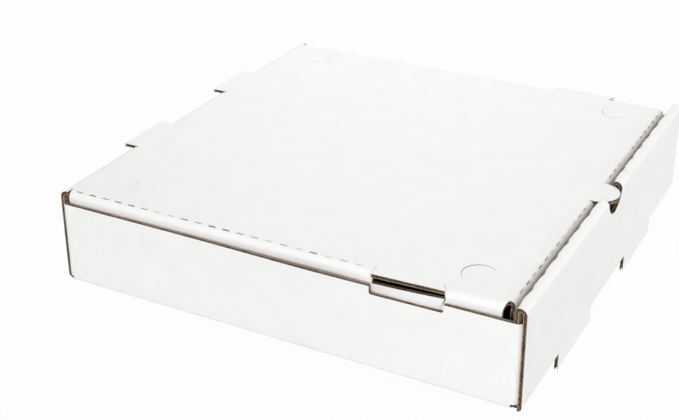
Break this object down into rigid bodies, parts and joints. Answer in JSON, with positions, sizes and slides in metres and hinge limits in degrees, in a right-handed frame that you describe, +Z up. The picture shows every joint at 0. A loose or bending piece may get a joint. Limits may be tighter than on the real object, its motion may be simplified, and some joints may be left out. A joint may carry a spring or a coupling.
{
  "type": "pizza box",
  "caption": "Square corrugated pizza box with a hinged lid, a rolled front wall with a thumb notch, corner tabs, standing tabs and half-moon vents.",
  "frame": {"origin": "middle of the underside of the bottom panel", "axes": "+X to the right and +Y to the back as seen from the front wall, +Z up through the lid"},
  "size_m": [0.2598, 0.2612, 0.0603],
  "materials": {
    "board": "matt"
  },
  "bodies": {
    "tray": {"tray": "board"},
    "lid": {"lid": "board"}
  },
  "joints": [
    {"name": "lid_hinge", "type": "hinge", "parent": "tray", "child": "lid", "pos_m": [0, 0.127, 0.04665], "axis": [-1, 0, 0], "range_deg": [0, 180]}
  ]
}
